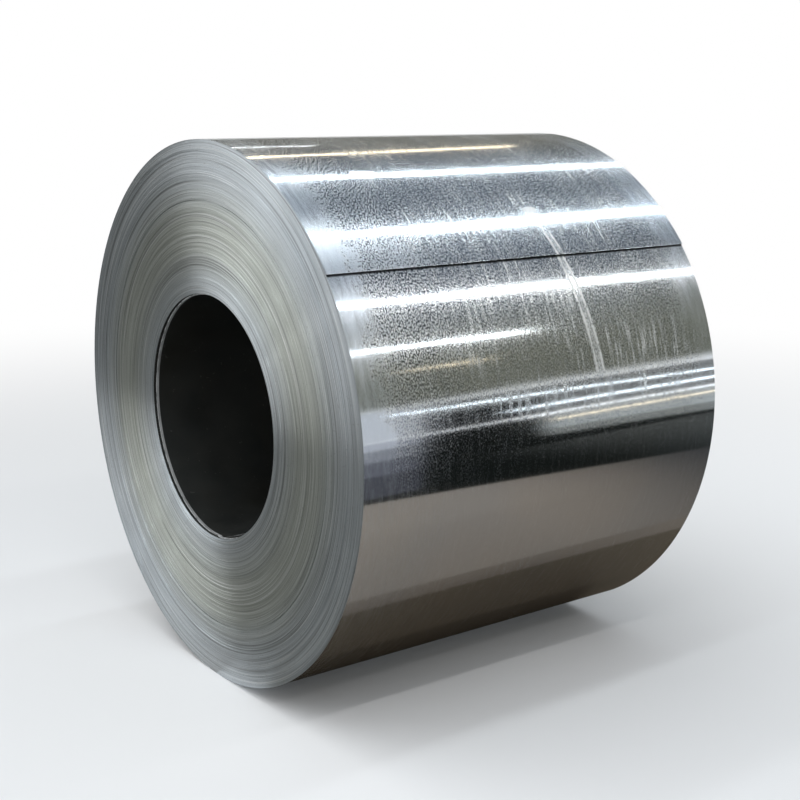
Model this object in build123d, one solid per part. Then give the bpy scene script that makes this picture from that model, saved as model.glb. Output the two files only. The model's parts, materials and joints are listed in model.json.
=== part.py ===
from build123d import *
import os
from math import cos, radians, sin

# A coil of galvanised steel strip, lying on its side.
# Millimetres and degrees. The origin is the middle of the bore, +X runs along the
# bore, +Z is up, and the strip's free end shows on the -Y side.

# Driving dimensions
BORE_DIAMETER = 508.0
STRIP_WIDTH = 914.0
STRIP_THICKNESS = 1.2
TURNS = 262

# The free end of the strip, which points down over the turn below it
TAIL_ANGLE = 37.0
TAIL_LIFT = 3.0
LIFTED_ARC = 11.0
GAP_ARC = 3.5

# The outermost turns stand alone, because their outside is a spiral
OUTER_TURNS = 2
OUTER_NEAR_SET_IN = 1.8
OUTER_FAR_SET_IN = 2.6

# The strip's two cut edges, from the bore out: how many turns lie level with each
# other, and how far they sit in from the widest turns. Together they are all the
# turns but the outer ones.
NEAR_BANDS = (
    (2, 9.3), (11, 1.6), (18, 0.6), (23, 2.0), (20, 0.9), (24, 2.2), (19, 1.0), (25, 2.4),
    (18, 1.1), (2, 4.5), (16, 0.5), (22, 1.7), (19, 0.0), (24, 1.3), (17, 0.4),
)
FAR_BANDS = (
    (1, 4.0), (20, 1.2), (33, 0.0), (26, 1.5), (30, 0.6), (24, 2.0), (3, 4.5), (35, 0.8),
    (28, 2.1), (31, 0.5), (29, 1.4),
)

# What follows from them
BORE_RADIUS = BORE_DIAMETER / 2
OUTER_RADIUS = BORE_RADIUS + TURNS * STRIP_THICKNESS
CORE_RADIUS = OUTER_RADIUS - OUTER_TURNS * STRIP_THICKNESS
HALF_WIDTH = STRIP_WIDTH / 2
TAIL_POLAR = 180 - TAIL_ANGLE


def at(radius, angle):
    """A point of the end view, by its angle above the level on the -Y side."""
    return Vector(-radius * cos(radians(angle)), radius * sin(radians(angle)))


def edge_points(bands, side):
    """The stepped line that one end's turns make, from the bore out."""
    points = []
    radius = BORE_RADIUS
    for turns, set_in in bands:
        x = side * (HALF_WIDTH - set_in)
        points.append((x, radius))
        radius += turns * STRIP_THICKNESS
        points.append((x, radius))
    return points


def inner_turns():
    """All the turns but the outermost, as one turned body with the bore."""
    near = edge_points(NEAR_BANDS, -1)
    far = edge_points(FAR_BANDS, 1)
    outline = Polyline(*near, *reversed(far), close=True)
    return revolve(make_face(outline), Axis.X)


def outer_section():
    """The end view of the outermost turns: a spiral outside, and the free end lifted."""
    step = STRIP_THICKNESS
    centre = at(step / 4, TAIL_ANGLE)
    foot = OUTER_RADIUS - step
    root_angle = TAIL_ANGLE + GAP_ARC
    root_lift = TAIL_LIFT * (GAP_ARC / LIFTED_ARC - 1) ** 2

    # Two half turns whose centres are half a step apart grow by one step in a turn
    over = CenterArc(centre, OUTER_RADIUS - step / 4, TAIL_POLAR - 180, 180 - LIFTED_ARC)
    under = CenterArc(-centre, OUTER_RADIUS - 3 * step / 4, TAIL_POLAR, 180)

    # The free end springs off the turn below, which leaves a slit that closes inward
    lifted = TangentArc(over @ 1, at(OUTER_RADIUS + TAIL_LIFT, TAIL_ANGLE), tangent=over % 1)
    cut_edge = Line(lifted @ 1, at(foot + TAIL_LIFT, TAIL_ANGLE))
    slit_roof = Line(cut_edge @ 1, at(foot + root_lift, root_angle))
    slit_root = Line(slit_roof @ 1, at(foot, root_angle))
    slit_floor = CenterArc((0, 0), foot, 180 - root_angle, GAP_ARC)
    spiral = make_face([over, lifted, cut_edge, slit_roof, slit_root, slit_floor, under])
    return spiral - Circle(CORE_RADIUS)


def outer_turns():
    """The outermost turns, set in a little at both ends."""
    near = -HALF_WIDTH + OUTER_NEAR_SET_IN
    far = HALF_WIDTH - OUTER_FAR_SET_IN
    return extrude(Plane.YZ.offset(near) * outer_section(), far - near)


strip = inner_turns() + outer_turns()

os.makedirs("parts", exist_ok=True)
export_step(strip, "parts/wound_strip.step")

bands = sum(turns for turns, set_in in NEAR_BANDS), sum(turns for turns, set_in in FAR_BANDS)
print("turns in the bands", bands, "outer radius", OUTER_RADIUS)
print("solids", len(strip.solids()), "faces", len(strip.faces()), "volume", strip.volume)
print("box", strip.bounding_box())
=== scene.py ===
import json
import bpy
import numpy as np
from math import cos, pi, radians, sin
from mathutils import Matrix, Vector
from types import SimpleNamespace


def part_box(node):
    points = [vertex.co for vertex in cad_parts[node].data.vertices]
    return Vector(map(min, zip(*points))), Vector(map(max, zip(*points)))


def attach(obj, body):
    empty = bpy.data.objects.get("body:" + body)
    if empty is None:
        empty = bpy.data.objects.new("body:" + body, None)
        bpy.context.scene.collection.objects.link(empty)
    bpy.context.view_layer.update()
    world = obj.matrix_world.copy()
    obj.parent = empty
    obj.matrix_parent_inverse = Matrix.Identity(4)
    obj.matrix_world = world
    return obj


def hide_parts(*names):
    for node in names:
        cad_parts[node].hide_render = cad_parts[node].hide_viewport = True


# A coil of galvanised strip in a plain studio. Metres and degrees, in the frame of the
# CAD model: +X runs along the bore, and angles on the coil count from the level on the
# -Y side upwards, so 90 is the top and 180 the +Y side.

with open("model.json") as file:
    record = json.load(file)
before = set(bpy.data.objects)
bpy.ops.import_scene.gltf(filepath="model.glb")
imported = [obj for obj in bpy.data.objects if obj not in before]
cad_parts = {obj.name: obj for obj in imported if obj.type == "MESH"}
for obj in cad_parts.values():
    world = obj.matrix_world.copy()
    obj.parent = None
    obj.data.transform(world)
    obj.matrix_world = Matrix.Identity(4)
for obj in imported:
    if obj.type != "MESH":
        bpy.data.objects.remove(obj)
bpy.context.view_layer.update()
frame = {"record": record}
record = frame["record"]

# Driving sizes
BORE_RADIUS = next(m for m in record["mounts"] if m["name"] == "bore")["dims"]["r_mm"] / 1000
HALF_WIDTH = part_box("wound_strip")[1][0]
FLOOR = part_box("wound_strip")[0][2]
THICKNESS = 0.0012
TURNS = 262
OUTER_RADIUS = BORE_RADIUS + TURNS * THICKNESS

# The strip's free end, which springs off the turn below it
TAIL_ANGLE = 37
TAIL_LIFT = 0.003
LIFTED_ARC = 11

# Places along the strip, in turns back from its free end
OUTER_END = 1.03
BODY_TURNS = 258
INNER_START = OUTER_END + BODY_TURNS
HEAD = 260.675

# How far each band of turns sits in from the widest ones, from the bore out: how many
# turns it has, and by how many millimetres. They are the bands of the CAD model.
NEAR_BANDS = (
    (2, 9.3), (11, 1.6), (18, 0.6), (23, 2.0), (20, 0.9), (24, 2.2), (19, 1.0), (25, 2.4),
    (18, 1.1), (2, 4.5), (16, 0.5), (22, 1.7), (19, 0.0), (24, 1.3), (17, 0.4), (2, 1.8),
)
FAR_BANDS = (
    (1, 4.0), (20, 1.2), (33, 0.0), (26, 1.5), (30, 0.6), (24, 2.0), (3, 4.5), (35, 0.8),
    (28, 2.1), (31, 0.5), (29, 1.4), (2, 2.6),
)
DEEP_BAND = 0.003
RAGGED = 0.0006
STEPS_PER_TURN = 180

# The outermost and the innermost turns: how far their near and far edges sit in, how
# deep the innermost near edge is pushed, and how far the turn over it follows
OUTER_SET_IN = (0.0018, 0.0026)
INNER_SET_IN = (0.0012, 0.0022)
INNER_RECESS = 0.0090
INNER_SINK = 0.007

# The outermost turn: its waves, its rolled lip, and what keeps it inside the CAD model
WAVE_DEPTH = 0.00022
LIP = 0.0005
LIP_ROLL = 0.0001
CLEARANCE = 0.0001


def on_coil(x, radius, angle):
    """Places at a radius and angle round the bore's axis, for numbers or arrays."""
    around = np.radians(angle)
    return np.stack(np.broadcast_arrays(x, -radius * np.cos(around), radius * np.sin(around)), -1)


def angle_of(back):
    """The angle on the coil of a place on the strip."""
    return TAIL_ANGLE + 360 * back


def spiral(back):
    """The outside radius of the strip: half turns whose centres lie half a turn's step apart."""
    half_turns = np.floor(2 * back)
    side = 1 - 2 * (half_turns % 2)
    swing = THICKNESS / 4 * side * np.cos(2 * pi * back)
    return OUTER_RADIUS - THICKNESS / 4 - THICKNESS / 2 * half_turns + swing


def uneven(places, spacing, seed):
    """A smooth random line from 0 to 1, with a new value each spacing."""
    count = int(np.max(places) / spacing) + 3
    values = np.random.default_rng(seed).random(count)
    at = places / spacing
    low = at.astype(int)
    part = at - low
    blend = part * part * (3 - 2 * part)
    return values[low] * (1 - blend) + values[low + 1] * blend


def set_in(back, bands, seed):
    """How far the strip's edge sits in from the widest turns, for places on the strip.

    Shallow bands lean towards their neighbours' depth, and deep ones stand apart.
    """
    from_bore = TURNS - back
    counts = np.array([turns for turns, depth in bands])
    depths = np.array([depth for turns, depth in bands]) / 1000
    limits = np.cumsum(counts)
    which = np.searchsorted(limits, from_bore).clip(0, len(bands) - 1)
    drift = np.interp(from_bore, limits - counts / 2, depths)
    leaning = 0.6 * depths[which] + 0.4 * drift
    depth = np.where(depths[which] > DEEP_BAND, depths[which], leaning)
    sinking = np.interp(back, (INNER_START - 0.3, INNER_START), (0, INNER_SINK))
    ragged = RAGGED * uneven(back, 0.31, seed) + RAGGED * uneven(back, 2.3, seed + 1)
    return depth + sinking + ragged


def new_piece(name, points, faces, groups, materials, maps):
    """A mesh that rides on the frame. groups picks each face's material, maps are UV layers."""
    mesh = bpy.data.meshes.new(name)
    mesh.from_pydata(points, [], faces)
    for material in materials:
        mesh.materials.append(material)
    mesh.polygons.foreach_set("material_index", groups)
    for map_name, places in maps.items():
        layer = mesh.uv_layers.new(name=map_name)
        layer.uv.foreach_set("vector", np.asarray(places, np.float32).ravel())
    mesh.update()
    piece = bpy.data.objects.new(name, mesh)
    bpy.context.scene.collection.objects.link(piece)
    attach(piece, "root")
    return piece


def quads(a, b, c, d):
    """Four-cornered faces from four lists of corners."""
    return np.stack([a, b, c, d], -1).reshape(-1, 4).tolist()


def shade(piece, sharp_degrees):
    """Smooth shading that breaks at corners sharper than this."""
    piece.data.polygons.foreach_set("use_smooth", [True] * len(piece.data.polygons))
    piece.data.set_sharp_from_angle(angle=radians(sharp_degrees))


def half_points(side, bands, seed, back, angle):
    """The outer and inner rims of half the turns, then the skin's and the bore's mid lines."""
    turn = STEPS_PER_TURN + 1
    edge_x = side * (HALF_WIDTH - set_in(back, bands, seed))
    outside = on_coil(edge_x, spiral(back), angle)
    inside = on_coil(edge_x, spiral(back) - THICKNESS, angle)
    skin_line = on_coil(0, spiral(back)[:turn], angle[:turn])
    bore_line = on_coil(0, spiral(back)[-turn:] - THICKNESS, angle[:turn])
    return np.concatenate([outside, inside, skin_line, bore_line])


def half_faces(side, last):
    """The faces of half the turns, and their materials: 1 in the bore and 0 elsewhere."""
    steps = STEPS_PER_TURN
    outer = np.arange(last + 1)
    inner = outer + last + 1
    skin_line = np.arange(steps + 1) + 2 * (last + 1)
    bore_line = skin_line + steps + 1
    edges = quads(outer[:-1], outer[1:], inner[1:], inner[:-1])
    edges += quads(inner[:-1 - steps], inner[1:-steps], outer[steps + 1:], outer[steps:-1])
    edges += quads(outer[1:steps + 1], outer[:steps], skin_line[:-1], skin_line[1:])
    bore = quads(inner[last - steps:-1], inner[last - steps + 1:], bore_line[1:], bore_line[:-1])
    cap = quads(skin_line[2:-1], skin_line[1:-2], bore_line[1:-2], bore_line[2:-1])

    # These close the steps that the spiral leaves where it starts and ends
    cap.append([skin_line[1], skin_line[0], skin_line[-1], bore_line[0], bore_line[1]])
    cap.append([skin_line[-1], skin_line[-2], bore_line[-2], bore_line[-1], bore_line[0]])
    cap.append([outer[0], inner[0], outer[steps], skin_line[-1], skin_line[0]][::-1])
    cap.append([inner[-1], outer[-1], inner[last - steps], bore_line[0], bore_line[-1]])
    faces = edges + bore + cap
    if side > 0:
        faces = [face[::-1] for face in faces]
    return faces, [0] * len(edges) + [1] * len(bore) + [0] * len(cap)


def half_map(faces, back, angle):
    """The bake's map looks down the bore: the end is a wide ring, the bore a ring inside it."""
    turn = STEPS_PER_TURN + 1
    outside = 0.5 * spiral(back) / OUTER_RADIUS
    inside = 0.5 * (spiral(back) - THICKNESS) / OUTER_RADIUS
    across = np.concatenate([outside, inside, np.full(turn, 0.499), np.full(turn, 0.04)])
    around = np.radians(np.concatenate([angle, angle, angle[:turn], angle[:turn]]))
    flat = np.stack([0.5 - across * np.cos(around), 0.5 + across * np.sin(around)], -1)
    return flat[np.concatenate([np.ravel(face) for face in faces])]


def wound_half(name, side, bands, seed, materials):
    """Half of the wound turns, cut at mid width: every turn's edge stands as it is wound."""
    last = BODY_TURNS * STEPS_PER_TURN
    back = OUTER_END + np.arange(last + 1) / STEPS_PER_TURN
    angle = angle_of(back)
    points = half_points(side, bands, seed, back, angle)
    faces, groups = half_faces(side, last)
    maps = {"OFBake": half_map(faces, back, angle)}
    piece = new_piece(name, points, faces, groups, materials, maps)
    shade(piece, 30)
    return piece


def sheet_faces(rows, columns):
    """A closed sheet's faces, and their materials.

    The materials are 0 on its broad sides, 1 on its long edges and 2 on its ends.
    """
    top = np.arange(rows * columns).reshape(rows, columns)
    low = top + rows * columns
    broad = quads(top[:-1, :-1], top[:-1, 1:], top[1:, 1:], top[1:, :-1])
    broad += quads(low[:-1, :-1], low[1:, :-1], low[1:, 1:], low[:-1, 1:])
    edges = quads(top[:-1, 0], top[1:, 0], low[1:, 0], low[:-1, 0])
    edges += quads(top[1:, -1], top[:-1, -1], low[:-1, -1], low[1:, -1])
    ends = quads(top[0, 1:], top[0, :-1], low[0, :-1], low[0, 1:])
    ends += quads(top[-1, :-1], top[-1, 1:], low[-1, 1:], low[-1, :-1])
    return broad + edges + ends, [0] * len(broad) + [1] * len(edges) + [2] * len(ends)


def sheet_mesh(name, back, x, outer, inner, materials):
    """A closed sheet of strip: outer and inner are grids of places, back along the strip."""
    faces, groups = sheet_faces(*outer.shape[:2])
    across, along = np.meshgrid(x, back * 2 * pi * OUTER_RADIUS)
    strip = np.stack([across, along], -1).reshape(-1, 2)
    fitted = (strip - strip.min(0)) / np.ptp(strip, axis=0)

    # The bake's map gives nearly all its width to the outside
    bake = np.concatenate([fitted * (0.97, 1), fitted * (0.02, 1) + (0.98, 0)])
    corners = np.ravel(faces)
    maps = {"OFBake": bake[corners], "strip": np.concatenate([strip, strip])[corners]}
    points = np.concatenate([outer.reshape(-1, 3), inner.reshape(-1, 3)])
    piece = new_piece(name, points, faces, groups, materials, maps)
    shade(piece, 35)
    return piece


def waviness(x, angle):
    """How far the skin dips below a true round, in metres."""
    turn = np.radians(angle)
    wave = 0.5 * np.sin(5 * turn + 3.1 * x + 0.4) + 0.3 * np.sin(9 * turn - 6.5 * x + 1.9)
    wave = wave + 0.2 * np.sin(17 * turn + 11 * x)
    return WAVE_DEPTH * (1 + wave) / 2


def outer_turn(materials):
    """The outermost turn, a little wavy, with its free end sprung off the turn below."""
    arc = 2 * pi * OUTER_RADIUS
    lip = np.array([0, LIP, 6 * LIP]) / arc
    back = np.concatenate([lip, np.linspace(12 * LIP / arc, OUTER_END, 400)])
    x = np.linspace(-1, 1, 77)
    low_x = -HALF_WIDTH + OUTER_SET_IN[0]
    high_x = HALF_WIDTH - OUTER_SET_IN[1]
    across = (low_x + high_x) / 2 + (high_x - low_x) / 2 * x[None, :]
    angle = angle_of(back)[:, None]
    free = np.clip(1 - back * 360 / LIFTED_ARC, 0, 1)[:, None]
    lift = TAIL_LIFT * free ** 2 * (0.85 + 0.15 * np.cos(across * 9))
    rolled = LIP_ROLL * np.clip(1 - back[:, None] * arc / LIP, 0, 1)
    radius = spiral(back)[:, None] + lift - waviness(across, angle) - CLEARANCE
    outer = on_coil(across, radius - rolled, angle)
    inner = on_coil(across, radius - 0.96 * THICKNESS, angle)
    return sheet_mesh("outer_turn", back, x * HALF_WIDTH, outer, inner, materials)


def inner_turn(materials):
    """The turns next to the bore: their near edge sits deep, and they end at its bottom."""
    back = np.linspace(INNER_START, HEAD, 500)
    x = np.linspace(-1, 1, 9)
    from_head = (HEAD - back) * 360
    deep = np.interp(from_head, (0, 4, 6, 350, 358, 364, 368), (0.1, 0.5, 1, 1, 0.4, 0.7, 1))
    low_x = -HALF_WIDTH + INNER_SET_IN[0] + INNER_RECESS * deep[:, None]
    high_x = HALF_WIDTH - INNER_SET_IN[1]
    across = low_x + (high_x - low_x) * (x[None, :] + 1) / 2
    angle = angle_of(back)[:, None]
    radius = spiral(back)[:, None] - CLEARANCE / 2
    outer = on_coil(across, radius, angle)
    inner = on_coil(across, radius - 0.94 * THICKNESS, angle)
    return sheet_mesh("inner_turn", back, x * HALF_WIDTH, outer, inner, materials)


def plug(tree, node, inputs):
    """Sets a node's sockets, by name or number, to values or to other sockets."""
    for key, value in inputs.items():
        if isinstance(value, bpy.types.NodeSocket):
            tree.links.new(value, node.inputs[key])
        else:
            node.inputs[key].default_value = value


def add(tree, kind, inputs=None, **settings):
    """A shader node with its settings and inputs."""
    node = tree.nodes.new("ShaderNode" + kind)
    for key, value in settings.items():
        setattr(node, key, value)
    plug(tree, node, inputs or {})
    return node


def maths(tree, operation, *values):
    """The result of a Math node."""
    return add(tree, "Math", dict(enumerate(values)), operation=operation).outputs[0]


def mapped(tree, value, low, high, to_low=0.0, to_high=1.0):
    """A value eased from one range to another, and held beyond it."""
    numbers = {0: value, 1: low, 2: high, 3: to_low, 4: to_high}
    return add(tree, "MapRange", numbers, interpolation_type="SMOOTHSTEP").outputs[0]


def product(tree, *values):
    """Values multiplied together."""
    result = values[0]
    for value in values[1:]:
        result = maths(tree, "MULTIPLY", result, value)
    return result


def total(tree, *values):
    """Values added together."""
    result = values[0]
    for value in values[1:]:
        result = maths(tree, "ADD", result, value)
    return result


def band(tree, angle, low, high, soft_low, soft_high):
    """1 between two angles on the coil, eased to 0 over some degrees beyond each."""
    rising = mapped(tree, angle, radians(low - soft_low), radians(low))
    falling = mapped(tree, angle, radians(high + soft_high), radians(high))
    return product(tree, rising, falling)


def mixed(tree, share, first, second):
    """Two colours mixed by a share."""
    return add(tree, "Mix", {0: share, 6: first, 7: second}, data_type="RGBA").outputs[2]


def blended(tree, share, first, second):
    """Two numbers mixed by a share."""
    return add(tree, "Mix", {0: share, 2: first, 3: second}).outputs[0]


def noise(tree, place, scale, detail=2.0, rough=0.5, distortion=0.0):
    """Noise from 0 to 1 at a place."""
    values = {"Vector": place, "Scale": scale, "Detail": detail, "Roughness": rough}
    values["Distortion"] = distortion
    return add(tree, "TexNoise", values).outputs[0]


def split(tree, place):
    """The X, Y and Z of a place."""
    return add(tree, "SeparateXYZ", {0: place}).outputs


def length(tree, place):
    """How far a place is from the origin."""
    return add(tree, "VectorMath", {0: place}, operation="LENGTH").outputs["Value"]


def in_space(tree):
    """The place in the CAD model's frame."""
    return add(tree, "TexCoord").outputs["Object"]


def new_material(name):
    """A material with a Principled shader: the material, its nodes and the shader."""
    material = bpy.data.materials.new(name)
    material.use_nodes = True
    tree = material.node_tree
    return material, tree, tree.nodes["Principled BSDF"]


def stretched(tree, place, squeeze):
    """Places squeezed along the strip, so that what is drawn on them comes out longer."""
    return add(tree, "Mapping", {"Vector": place, "Scale": (1, squeeze, 1)}).outputs[0]


# The skin's patterns, in noise cells per metre
GRAIN_SCALE = 360.0
CRYSTAL_SCALE = 170.0
ROW_SCALE = 90.0
DUST_SCALE = 4000.0

# The skin's roughness: polished, polished low down, dusty, on a bare grain and worn
POLISHED = 0.10
POLISHED_LOW = 0.07
DUSTY = 0.31
BARE = 0.06
WORN = 0.45

# How high the grain and the bulge stand, in metres
GRAIN_RELIEF = 0.00003
BULGE = 0.0004


def skin_places(tree):
    """What the skin's patterns are laid out by, on the strip and round the coil."""
    strip = add(tree, "UVMap", uv_map="strip").outputs[0]
    on_strip = split(tree, strip)
    place = split(tree, in_space(tree))
    return SimpleNamespace(
        strip=strip,
        across=on_strip[0],
        along=on_strip[1],
        x=place[0],
        height=place[2],
        angle=maths(tree, "ARCTAN2", place[2], product(tree, place[1], -1.0)),
        drawn=stretched(tree, strip, 0.6),
        pulled=stretched(tree, strip, 0.11),
        ragged=maths(tree, "SUBTRACT", noise(tree, strip, 9.0, 6.0, 0.7), 0.5),
    )


def skin_zones(tree, at):
    """Where the strip has bare grains, where they crowd, and the lap above the free end."""
    scattered = maths(tree, "SUBTRACT", noise(tree, at.drawn, 75.0, 2.0, 0.6), 0.5)
    moved = maths(tree, "MULTIPLY_ADD", at.ragged, 0.20, at.across)
    moved = maths(tree, "MULTIPLY_ADD", scattered, 0.07, moved)
    moved_more = maths(tree, "MULTIPLY_ADD", at.ragged, 0.30, at.across)
    off_near_edge = mapped(tree, moved, -0.43, -0.365)
    off_far_edge = mapped(tree, moved_more, 0.45, 0.34)
    above_foot = mapped(tree, at.height, -0.08, 0.03)
    over_free_end = band(tree, at.angle, 37.1, 44, 0.2, 6)
    return SimpleNamespace(
        grained=product(tree, off_near_edge, off_far_edge, above_foot),
        crowd=product(tree, mapped(tree, moved, -0.41, -0.36), mapped(tree, moved, -0.19, -0.28)),
        lap=product(tree, over_free_end, mapped(tree, at.across, -0.2, -0.3)),
    )


def bare_grains(tree, at, zones):
    """The zinc's fine grain, and the flecks where it lies bare."""
    patch = mapped(tree, noise(tree, at.drawn, 7.0, 3.0, 0.6), 0.35, 0.68)
    crowded = total(tree, product(tree, zones.crowd, 0.6), product(tree, patch, 0.4))
    grain = noise(tree, at.drawn, GRAIN_SCALE, 2.0, 0.6)
    level = total(
        tree,
        mapped(tree, product(tree, zones.grained, crowded), 0.0, 1.0, 0.585, 0.50),
        mapped(tree, zones.grained, 0.0, 0.5, 0.14, 0.0),
        mapped(tree, noise(tree, at.pulled, ROW_SCALE), 0.3, 0.7, 0.03, -0.03),
        product(tree, zones.lap, 0.045),
    )
    return grain, mapped(tree, maths(tree, "SUBTRACT", grain, level), -0.01, 0.03)


def rub_marks(tree, at, zones):
    """Soft marks along the strip, more of them towards its far edge and few low down."""
    marks = noise(tree, stretched(tree, at.strip, 0.07), 150.0, 3.0, 0.55)
    patches = mapped(tree, noise(tree, at.strip, 7.0), 0.32, 0.58)
    spread = mapped(tree, at.across, -0.36, -0.2, 0.2, 1.0)
    height = mapped(tree, at.angle, radians(2), radians(14), 0.1, 1.0)
    shown = mapped(tree, marks, 0.47, 0.74)
    return product(tree, shown, patches, spread, height, zones.grained, 0.6)


def off_spot(tree, across, angle, spot, spot_angle, squeeze):
    """How far a place on the skin is from a spot, in metres, with X squeezed."""
    sideways = product(tree, maths(tree, "SUBTRACT", across, spot), squeeze)
    turned = maths(tree, "SUBTRACT", angle, radians(spot_angle))
    upwards = product(tree, turned, OUTER_RADIUS)
    return length(tree, add(tree, "CombineXYZ", {0: sideways, 1: upwards}).outputs[0])


def chafe_marks(tree, at):
    """The double line where the zinc is chafed, and the blotch above it."""
    middle = maths(tree, "MULTIPLY_ADD", at.angle, -0.0555, 0.1375)
    off = maths(tree, "ABSOLUTE", maths(tree, "SUBTRACT", at.x, middle))
    apart = mapped(tree, at.angle, radians(45), radians(11), 0.0066, 0.0088)
    off_line = maths(tree, "ABSOLUTE", maths(tree, "SUBTRACT", off, apart))
    between = mapped(tree, off, 0.011, 0.006, 0.0, 0.5)
    lines = maths(tree, "MAXIMUM", mapped(tree, off_line, 0.006, 0.0008), between)
    lines = product(tree, lines, band(tree, at.angle, 12.4, 42, 1.2, 3))
    blotch = mapped(tree, off_spot(tree, at.x, at.angle, 0.088, 48.6, 0.5), 0.014, 0.007)
    worn = mapped(tree, noise(tree, at.drawn, 60.0, 3.0, 0.7), 0.35, 0.6, 0.45, 0.8)
    return product(tree, maths(tree, "MAXIMUM", lines, blotch), worn)


def skin_colour(tree, at, zones, fleck, worn):
    """Bluish zinc, darker on its bare grains and duller where worn, with a painted shadow, near
    black, on the turn just below the free end.
    """
    tone = mapped(tree, noise(tree, at.strip, 2.5, 3.0), 0.3, 0.7)
    crystals = add(tree, "TexVoronoi", {"Vector": at.drawn, "Scale": CRYSTAL_SCALE})
    crystal = add(tree, "SeparateColor", {0: crystals.outputs["Color"]}).outputs[0]
    clean = mixed(tree, tone, (0.74, 0.81, 0.88, 1), (0.80, 0.84, 0.87, 1))
    spangle = mixed(tree, crystal, (0.70, 0.74, 0.77, 1), (0.82, 0.85, 0.86, 1))
    colour = mixed(tree, zones.grained, clean, spangle)
    colour = mixed(tree, product(tree, fleck, 0.85), colour, (0.36, 0.39, 0.43, 1))
    colour = mixed(tree, product(tree, worn, 0.8), colour, (0.74, 0.74, 0.70, 1))
    # A painted shadow: a near-black line on the turn below the free end, where the lifted end would
    # shade it
    corner = band(tree, at.angle, 36.8, 37.1, 0.4, 0.2)
    corner = product(tree, corner, maths(tree, "GREATER_THAN", at.along, 1.0), 0.93)
    return mixed(tree, corner, colour, (0.01, 0.01, 0.01, 1))


def skin_roughness(tree, at, zones, grain, fleck, worn):
    """A mirror, dulled by specks of dust too fine to see.

    The dust is thin low down, and thick between grains and towards the strip's edges.
    """
    near_edge = mapped(tree, at.across, -0.38, -0.18, -0.05, 0.08)
    far_edge = product(tree, mapped(tree, at.across, 0.32, 0.42), mapped(tree, at.height, 0.13, 0.22))
    between = product(tree, maths(tree, "SUBTRACT", grain, 0.5), zones.grained)
    clear = total(
        tree,
        mapped(tree, noise(tree, at.pulled, ROW_SCALE, 3.0, 0.6), 0.3, 0.7, 0.55, 0.45),
        near_edge,
        product(tree, far_edge, -0.1),
        product(tree, zones.lap, -0.15),
        product(tree, between, 0.9),
        mapped(tree, at.height, 0.22, 0.03, 0.0, 0.19),
        mapped(tree, at.angle, radians(62), radians(70), 0.0, 0.09),
    )
    dust = noise(tree, at.strip, DUST_SCALE, 0.0)
    haze = mapped(tree, maths(tree, "SUBTRACT", dust, clear), -0.01, 0.01)
    polish = mapped(tree, at.height, 0.22, 0.08, POLISHED, POLISHED_LOW)
    rough = blended(tree, haze, polish, DUSTY)
    rough = blended(tree, fleck, rough, BARE)
    return blended(tree, worn, rough, WORN)


def zinc_skin():
    """The strip's bright zinc face: a mirror under a thin haze, which bare grains break."""
    material, tree, shader = new_material("zinc_skin")
    at = skin_places(tree)
    zones = skin_zones(tree, at)
    grain, fleck = bare_grains(tree, at, zones)
    worn = maths(tree, "MAXIMUM", chafe_marks(tree, at), rub_marks(tree, at, zones))

    # The grain stands up a little, and a small bulge bends the reflections beside it
    bulge = mapped(tree, off_spot(tree, at.across, at.angle, -0.24, 63.9, 0.45), 0.018, 0.0)
    grain_height = product(tree, grain, zones.grained, GRAIN_RELIEF)
    relief = total(tree, product(tree, bulge, BULGE), grain_height)
    bump = add(tree, "Bump", {"Strength": 1.0, "Distance": 1.0, "Height": relief})
    plug(tree, shader, {
        "Base Color": skin_colour(tree, at, zones, fleck, worn),
        "Roughness": skin_roughness(tree, at, zones, grain, fleck, worn),
        "Metallic": maths(tree, "MULTIPLY_ADD", worn, -0.5, 1.0),
        "Normal": bump.outputs[0],
    })
    return material


def edge_tones(tree, place):
    """Each turn's own tone, and the fine lines where single turns stand out.

    The tones drift slowly round the coil.
    """
    parts = split(tree, place)
    flat = add(tree, "CombineXYZ", {1: parts[1], 2: parts[2]}).outputs[0]
    radius = length(tree, flat)
    turn = maths(tree, "DIVIDE", radius, THICKNESS)
    ringed = add(tree, "CombineXYZ", {0: turn, 1: parts[1], 2: parts[2]}).outputs[0]
    drift = {0: turn, 1: product(tree, parts[1], 4.5), 2: product(tree, parts[2], 4.5)}
    lapped = add(tree, "CombineXYZ", drift).outputs[0]
    fine = noise(tree, lapped, 0.8, 2.0, 0.7)
    broad = noise(tree, ringed, 0.06, 3.0, 0.6)
    return SimpleNamespace(
        radius=radius,
        fine=fine,
        broad=broad,
        tone=total(tree, product(tree, fine, 0.8), product(tree, broad, 0.2)),
        bright=mapped(tree, noise(tree, lapped, 0.36, 1.0), 0.60, 0.68),
        sunk=mapped(tree, noise(tree, lapped, 0.33, 1.0, 0.5, 0.2), 0.40, 0.33),
    )


def edge_colour(tree, place, tones):
    """Grey steel and zinc, warmer in the middle of the turns, with lines and specks."""
    inwards = maths(tree, "SUBTRACT", tones.radius, 0.03)
    tint_at = maths(tree, "MULTIPLY_ADD", tones.broad, 0.06, inwards)
    warm = product(tree, mapped(tree, tint_at, 0.25, 0.37), mapped(tree, tint_at, 0.51, 0.40))
    base = mixed(tree, warm, (0.55, 0.59, 0.62, 1), (0.53, 0.55, 0.49, 1))
    dark = mixed(tree, 0.35, base, (0.16, 0.17, 0.17, 1))
    light = mixed(tree, 0.35, base, (0.80, 0.82, 0.82, 1))
    specks = mapped(tree, noise(tree, place, 260.0, 1.0), 0.66, 0.74)
    colour = mixed(tree, mapped(tree, tones.tone, 0.36, 0.64), dark, light)
    colour = mixed(tree, product(tree, tones.bright, 0.45), colour, (0.86, 0.87, 0.86, 1))
    colour = mixed(tree, product(tree, tones.sunk, 0.45), colour, (0.12, 0.12, 0.12, 1))
    return mixed(tree, product(tree, specks, 0.3), colour, (0.2, 0.19, 0.17, 1))


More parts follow.
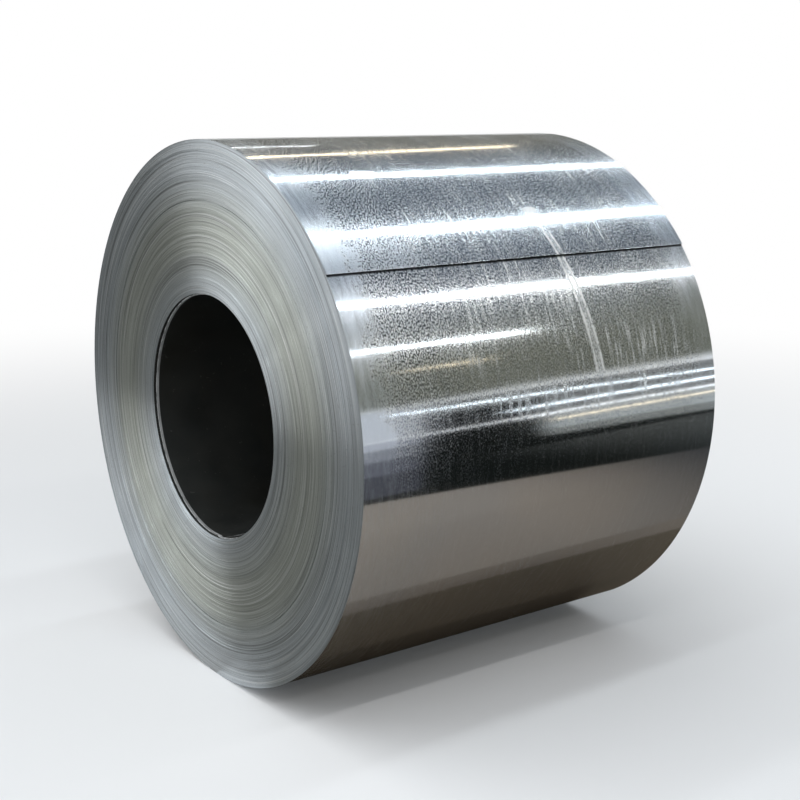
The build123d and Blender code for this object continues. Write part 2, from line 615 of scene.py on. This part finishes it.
def cut_edge():
    """The strip's cut edges: bare grey steel and zinc, drawn out round the coil."""
    material, tree, shader = new_material("cut_edge")
    place = in_space(tree)
    tones = edge_tones(tree, place)
    bump = add(tree, "Bump", {"Strength": 0.4, "Distance": 0.0008, "Height": tones.fine})
    plug(tree, shader, {
        "Base Color": edge_colour(tree, place, tones),
        "Metallic": 0.9,
        "Roughness": mapped(tree, tones.tone, 0.3, 0.7, 0.41, 0.36),
        "Anisotropic": 0.95,
        "Anisotropic Rotation": 0.25,
        "Tangent": add(tree, "Tangent", direction_type="RADIAL", axis="X").outputs[0],
        "Normal": bump.outputs[0],
    })
    return material


def painted_highlight_edge():
    """The cut edge of the innermost turn, with a painted highlight: bright patches along it."""
    material, tree, shader = new_material("painted_highlight_edge")
    highlight_patches = noise(tree, in_space(tree), 60.0, 2.0, 0.6)
    shown = mapped(tree, highlight_patches, 0.35, 0.6)
    # Painted highlight: the bright colour stands in for light caught on the edge
    plug(tree, shader, {
        "Base Color": mixed(tree, shown, (0.20, 0.20, 0.20, 1), (0.62, 0.63, 0.63, 1)),
        "Roughness": mapped(tree, highlight_patches, 0.3, 0.7, 0.5, 0.38),
        "Metallic": 0.25,
    })
    return material


def sheared_end():
    """The strip's free end, sheared across its width, with painted shade: near black for the shadowed
    gap under the lifted end.
    """
    material, tree, shader = new_material("sheared_end")
    patchy_shade = noise(tree, in_space(tree), 90.0, 3.0, 0.6)
    # Painted shade: both colours are near black, standing in for the shadow in the gap under the
    # lifted end
    plug(tree, shader, {
        "Base Color": mixed(tree, patchy_shade, (0.015, 0.015, 0.015, 1), (0.07, 0.07, 0.068, 1)),
        "Roughness": mapped(tree, patchy_shade, 0.3, 0.7, 0.45, 0.65),
        "Metallic": 0.5,
    })
    return material


def bore_wall():
    """The innermost face of the strip: dusty zinc painted near black as the shade inside the bore,
    with a painted highlight along its near edge.
    """
    material, tree, shader = new_material("bore_wall")
    place = in_space(tree)
    dust = noise(tree, place, 11.0, 4.0, 0.65)
    tint = mapped(tree, noise(tree, place, 4.0), 0.4, 0.6)
    spots = mapped(tree, noise(tree, place, 120.0, 1.0), 0.72, 0.78)
    across = split(tree, add(tree, "UVMap", uv_map="strip").outputs[0])[0]
    # A painted highlight: a bright band along the near edge, beside the innermost turn's bright edge
    near_edge_highlight = mapped(tree, across, -HALF_WIDTH + 0.0062, -HALF_WIDTH + 0.0045)
    near_edge_highlight = product(tree, near_edge_highlight, mapped(tree, dust, 0.3, 0.6, 0.5, 1.0))
    # Painted shade: the zinc's colours are near black, for the shade inside the bore
    painted_shade_tone = mixed(tree, tint, (0.011, 0.014, 0.015, 1), (0.015, 0.014, 0.011, 1))
    colour = mixed(tree, dust, painted_shade_tone, (0.034, 0.035, 0.031, 1))
    colour = mixed(tree, product(tree, spots, 0.2), colour, (0.16, 0.16, 0.15, 1))
    plug(tree, shader, {
        "Base Color": mixed(tree, near_edge_highlight, colour, (0.45, 0.46, 0.46, 1)),
        "Roughness": mapped(tree, dust, 0.2, 0.8, 0.5, 0.65),
        "Metallic": 0.6,
    })
    return material


# The camera stands where the photograph was taken from
VIEW_AZIMUTH = -36.22
VIEW_ELEVATION = 12.31
CAMERA_DISTANCE = 3.1206
LENS = 61.33
TARGET = Vector((0.0378, 0.0, -0.0265))

# Lamps hang this far from the skin, and the camera sees the coil's near and far ends
# mirror them at these X
LAMP_REACH = 2.6
MIRRORED_X = (1.19, 3.25)

# Cards lie on the floor or stand on a wall on the -Y side, in thin layers
WALL_Y = -7
FLOOR_LAYER = 0.001
WALL_LAYER = 0.01

# The clear screen: how far it is from the near end, how much wider its hole is than the
# coil, and how far it and the floor reach
SCREEN_GAP = 0.004
HOLE_MARGIN = 0.008
SCREEN_REACH = 40.0
FLOOR_REACH = 60.0


def towards_camera():
    """The direction from the target to the camera."""
    azimuth, elevation = radians(VIEW_AZIMUTH), radians(VIEW_ELEVATION)
    level = cos(elevation)
    return Vector((sin(azimuth) * level, -cos(azimuth) * level, sin(elevation)))


def place_camera():
    """The scene's camera, level and aimed at the target."""
    data = bpy.data.cameras.new("camera")
    data.lens = LENS
    data.sensor_width = 36
    camera = bpy.data.objects.new("camera", data)
    camera.location = TARGET + CAMERA_DISTANCE * towards_camera()
    camera.rotation_euler = towards_camera().to_track_quat("Z", "Y").to_euler()
    bpy.context.scene.collection.objects.link(camera)
    bpy.context.scene.camera = camera
    return camera


def mirrored(camera, streak):
    """Where on the coil's round the camera sees an angle, and which way it is mirrored there.

    Lengthwise the coil is straight, so this is worked out in its end view alone.
    """
    out = Vector(on_coil(0, 1.0, streak))
    spot = OUTER_RADIUS * out
    seen = camera.location - spot
    seen.x = 0
    seen.normalize()
    return spot, 2 * out.dot(seen) * out - seen


def tube_lamp(camera, name, streaks, thickness, start, end, strength, colour):
    """A long soft lamp that shows as a streak along the coil, at an angle at each of its ends."""
    near_spot, near_way = mirrored(camera, streaks[0])
    far_spot, far_way = mirrored(camera, streaks[1])
    low = near_spot + LAMP_REACH * near_way + Vector((MIRRORED_X[0], 0, 0))
    high = far_spot + LAMP_REACH * far_way + Vector((MIRRORED_X[1], 0, 0))
    axis = (high - low).normalized()
    facing = near_way + far_way
    facing = (facing - axis * facing.dot(axis)).normalized()
    data = bpy.data.lights.new(name, "AREA")
    data.shape = "RECTANGLE"
    data.size = end - start
    data.size_y = thickness
    data.energy = strength * pi * data.size * data.size_y
    data.color = colour
    lamp = bpy.data.objects.new(name, data)
    lamp.visible_camera = False
    lamp.location = low + axis * ((start + end) / 2 - MIRRORED_X[0])
    lamp.rotation_euler = Matrix((axis, facing.cross(axis), facing)).transposed().to_euler()
    bpy.context.scene.collection.objects.link(lamp)
    return lamp


def stage_sheet(name, points, faces, material):
    """A flat sheet of the stage."""
    mesh = bpy.data.meshes.new(name)
    mesh.from_pydata(points, [], faces)
    mesh.materials.append(material)
    sheet = bpy.data.objects.new(name, mesh)
    bpy.context.scene.collection.objects.link(sheet)
    return sheet


def only_mirrored(sheet):
    """Lets a sheet of the stage be met by reflections alone."""
    sheet.visible_camera = False
    sheet.visible_diffuse = False
    sheet.visible_shadow = False
    return sheet


def mirrored_place(camera, x, angle, upright, layer):
    """The place on the floor, or on a wall far off, that a spot on the skin mirrors."""
    spot = Vector(on_coil(x, OUTER_RADIUS, angle))
    out = Vector(on_coil(0, 1.0, angle))
    seen = camera.location - spot
    way = 2 * out.dot(seen) * out - seen
    if upright:
        return spot + (WALL_LAYER * layer + WALL_Y - spot.y) / way.y * way
    return spot + (FLOOR + FLOOR_LAYER * layer - spot.z) / way.z * way


def mirror_card(name, camera, along, low, high, colour, far_colour=None, fade=(0, 1),
                upright=False, layer=2):
    """A matt card that only reflections show, by the patch of skin that mirrors it.

    along is the patch's reach in X, low and high its angles at its near and far ends,
    and colour fades to far_colour over the shares of its length that fade gives.
    """
    patch = ((along[0], low[0]), (along[1], low[1]), (along[1], high[1]), (along[0], high[0]))
    corners = [mirrored_place(camera, x, angle, upright, layer) for x, angle in patch]
    return shade_card(name, corners, colour, far_colour or colour, fade)


def shade_card(name, corners, colour, far_colour, fade=(0, 1)):
    """A matt card that only reflections show, whose colour changes along X."""
    material, tree, shader = new_material(name)
    x = split(tree, in_space(tree))[0]
    start = min(corner[0] for corner in corners)
    reach = max(corner[0] for corner in corners) - start
    share = mapped(tree, x, start + fade[0] * reach, start + fade[1] * reach)
    plug(tree, shader, {
        "Base Color": mixed(tree, share, (*colour, 1), (*far_colour, 1)),
        "Roughness": 1.0,
        "Specular IOR Level": 0.0,
    })
    return only_mirrored(stage_sheet(name, corners, [range(len(corners))], material))


def lay_floor():
    """A wide pale floor at the coil's foot, which turns to plain white further off."""
    material, tree, shader = new_material("pale_floor")
    plug(tree, shader, {
        "Base Color": (0.74, 0.74, 0.74, 1),
        "Roughness": 1.0,
        "Specular IOR Level": 0.0,
    })
    rays = add(tree, "LightPath").outputs
    seen = total(tree, rays["Is Camera Ray"], rays["Is Glossy Ray"], rays["Is Transmission Ray"])
    far_off = mapped(tree, length(tree, in_space(tree)), 1.2, 5.0)
    white = add(tree, "Emission", {"Strength": 1.0}).outputs[0]
    both = {0: product(tree, seen, far_off), 1: shader.outputs[0], 2: white}
    surface = add(tree, "MixShader", both).outputs[0]
    plug(tree, tree.nodes["Material Output"], {"Surface": surface})
    far = FLOOR_REACH
    corners = [(-far, -far, FLOOR), (far, -far, FLOOR), (far, far, FLOOR), (-far, far, FLOOR)]
    return stage_sheet("floor", corners, [range(4)], material)


def hang_screen():
    """A clear sheet in the plane of the coil's near end, with a hole for the coil.

    Reflections in the round skin that head for -X pass through it, and those in the near
    end don't, which lets the sky light the end and leave the skin as it is.
    """
    material, tree, shader = new_material("clear_screen")
    clear = add(tree, "BsdfTransparent").outputs[0]
    plug(tree, tree.nodes["Material Output"], {"Surface": clear})
    around = np.arange(0, 360, 5)
    x = -HALF_WIDTH - SCREEN_GAP
    near_coil = on_coil(x, OUTER_RADIUS + HOLE_MARGIN, around)
    points = np.concatenate([near_coil, on_coil(x, SCREEN_REACH, around)])
    hole = np.arange(len(around))
    rim = hole + len(around)
    faces = quads(hole, np.roll(hole, -1), np.roll(rim, -1), rim)
    return only_mirrored(stage_sheet("screen", points, faces, material))


def light_sky():
    """The world: white behind the coil, and a soft glow that faces the coil's near end.

    What the coil mirrors of it is white at the horizon and dim above.
    """
    world = bpy.data.worlds.new("world")
    world.use_nodes = True
    bpy.context.scene.world = world
    tree = world.node_tree
    way = split(tree, add(tree, "TexCoord").outputs["Generated"])
    rays = add(tree, "LightPath").outputs
    to_back = mapped(tree, way[1], -0.1, 0.3)
    low = mixed(tree, to_back, (0.15, 0.152, 0.122, 1), (0.19, 0.188, 0.168, 1))
    dim = mixed(tree, mapped(tree, way[2], 0.3, 0.75), low, (0.118, 0.138, 0.17, 1))
    colour = mixed(tree, mapped(tree, way[2], 0.075, 0.13), (1.0, 1.0, 1.0, 1), dim)

    # The glow lies towards -X. It fades straight behind the coil and low down, and a ray
    # that has passed the clear screen doesn't find it.
    glow = product(
        tree,
        mapped(tree, way[0], 0.08, -0.12),
        mapped(tree, way[1], 0.96, 0.935),
        mapped(tree, way[2], -0.05, 0.3),
        maths(tree, "LESS_THAN", rays["Transparent Depth"], 0.5),
    )
    to_far_back = mapped(tree, way[1], 0.0, 0.8)
    bright = mixed(tree, to_far_back, (1.28, 1.31, 1.34, 1), (2.05, 2.1, 2.15, 1))
    colour = mixed(tree, glow, colour, bright)
    colour = mixed(tree, rays["Is Camera Ray"], colour, (1.0, 1.0, 1.0, 1))
    plug(tree, tree.nodes["Background"], {"Color": colour})
    return world


skin = zinc_skin()
edge = cut_edge()
inner_edge_highlight = painted_highlight_edge()
wall = bore_wall()
outer = outer_turn([skin, edge, sheared_end()])
near_half = wound_half("near_half", -1, NEAR_BANDS, 11, [edge, wall])
far_half = wound_half("far_half", 1, FAR_BANDS, 23, [edge, wall])
inner = inner_turn([wall, inner_edge_highlight, inner_edge_highlight])
for piece in (outer, near_half, far_half, inner):
    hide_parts("wound_strip")

camera = place_camera()
lay_floor()
hang_screen()
light_sky()

# Lamps, by the angles of their streak at the coil's near and far ends: width, where they
# start and end along X in metres, strength and colour
COOL = (0.88, 0.95, 1.0)
WHITE = (1.0, 1.0, 1.0)
WARM = (1.0, 0.82, 0.58)
LAMPS = (
    ("lamp_rear", (77.4, 78.4), 0.03, 0.4, 1.4, 6.0, WHITE),
    ("lamp_warm", (71.2, 75.4), 0.03, -1.2, 2.5, 12.0, WARM),
    ("lamp_back", (61.6, 62.6), 0.06, -3.2, 3.8, 21.0, COOL),
    ("lamp_top", (45.6, 46.8), 0.07, -3.2, 3.8, 21.0, COOL),
    ("lamp_front", (30.7, 30.5), 0.06, -3.2, 3.8, 19.0, WHITE),
    ("lamp_low", (21.9, 21.9), 0.04, -1.2, 2.2, 14.0, WHITE),
    ("lamp_spot", (17.6, 17.6), 0.015, 1.5, 1.95, 5.0, WARM),
    ("lamp_line_a", (10.2, 9.0), 0.02, 1.4, 3.8, 5.2, COOL),
    ("lamp_line_b", (7.2, 7.2), 0.03, 2.05, 3.8, 4.2, COOL),
    ("lamp_line_c", (5.4, 5.4), 0.02, 2.1, 3.8, 2.6, WHITE),
    ("lamp_line_d", (4.1, 4.1), 0.02, 2.3, 3.8, 3.0, WARM),
)
for lamp in LAMPS:
    tube_lamp(camera, *lamp)

# Cards that give the polished skin something to mirror: from the coil's foot up, a brown
# floor, a dark belt, and a pale far side with a dark gap in it
NEAR_PATCH = (-0.6, -0.33)
GAP = (-0.33, -0.03)
FAR_PATCH = (-0.03, 0.7)
WHOLE = (-0.6, 0.7)
FOOT_SHADE = (0.105, 0.083, 0.06)
STEP = (0.17, 0.138, 0.11)
BROWN = (0.235, 0.195, 0.16)
DARK_BROWN = (0.045, 0.042, 0.04)
BLACK = (0.007, 0.008, 0.007)
DARK_GREY = (0.065, 0.065, 0.06)
# card_foot's colour is painted shade: the floor at the coil's foot, darkened as if the coil shaded it
mirror_card("card_foot", camera, WHOLE, (-60, -60), (-30, -30), FOOT_SHADE)
mirror_card("card_step", camera, WHOLE, (-30, -30), (-26.5, -26.5), STEP)
mirror_card("card_brown", camera, WHOLE, (-26.5, -26.5), (-5.0, -9.6), BROWN, DARK_BROWN,
            (0.38, 0.89), layer=3)
mirror_card("card_belt", camera, WHOLE, (-0.5, -0.5), (5.4, 5.4), BLACK, layer=1)
mirror_card("card_low_belt", camera, WHOLE, (-12, -14), (-0.5, -0.5), BLACK, DARK_GREY,
            (0.38, 0.75), layer=1)
mirror_card("card_near_a", camera, NEAR_PATCH, (-4.5, -4.5), (-0.5, -0.5), (0.05, 0.05, 0.058))
mirror_card("card_near_b", camera, NEAR_PATCH, (-0.5, -0.5), (2.2, 2.2), (0.10, 0.10, 0.115))
mirror_card("card_near_c", camera, NEAR_PATCH, (2.2, 2.2), (4.2, 4.2), (0.25, 0.25, 0.27))
mirror_card("card_near_d", camera, NEAR_PATCH, (4.2, 4.2), (5.6, 5.6), (0.55, 0.55, 0.59))
mirror_card("card_far_a", camera, FAR_PATCH, (1.2, -0.4), (2.4, 1.6), (0.22, 0.22, 0.205))
mirror_card("card_far_b", camera, FAR_PATCH, (2.4, 1.6), (5.6, 5.6), (0.46, 0.47, 0.455))
mirror_card("card_wall_near", camera, NEAR_PATCH, (4.8, 4.8), (11, 11), (0.75, 0.75, 0.78),
            upright=True)
mirror_card("card_wall_gap", camera, GAP, (4.8, 4.8), (8.8, 8.8), (0.03, 0.03, 0.03),
            upright=True)
mirror_card("card_wall_far", camera, WHOLE, (4.8, 4.8), (11, 11), (0.25, 0.25, 0.24),
            upright=True, layer=1)

# Cards for the sides that the photograph doesn't show: a wall behind the coil, and the
# floor at its near end and behind it
JUST_OVER = FLOOR + 0.002
PALE = (0.3, 0.3, 0.28)
DIM = (0.15, 0.15, 0.14)
DULL_BROWN = (0.22, 0.195, 0.17)
BACK_WALL = ((-12, 9, JUST_OVER), (12, 9, JUST_OVER), (12, 9, 1.2), (-12, 9, 1.2))
END_FLOOR = tuple((x, y, JUST_OVER) for x, y in ((-10, -5), (-0.5, -5), (-0.5, 9), (-10, 9)))
BACK_FLOOR = tuple((x, y, JUST_OVER) for x, y in ((-0.5, 0), (9, 0), (9, 9), (-0.5, 9)))
shade_card("card_back", BACK_WALL, PALE, PALE)
shade_card("card_end", END_FLOOR, DIM, DIM)
shade_card("card_back_floor", BACK_FLOOR, DULL_BROWN, DULL_BROWN)

bpy.context.scene.view_settings.view_transform = "Standard"
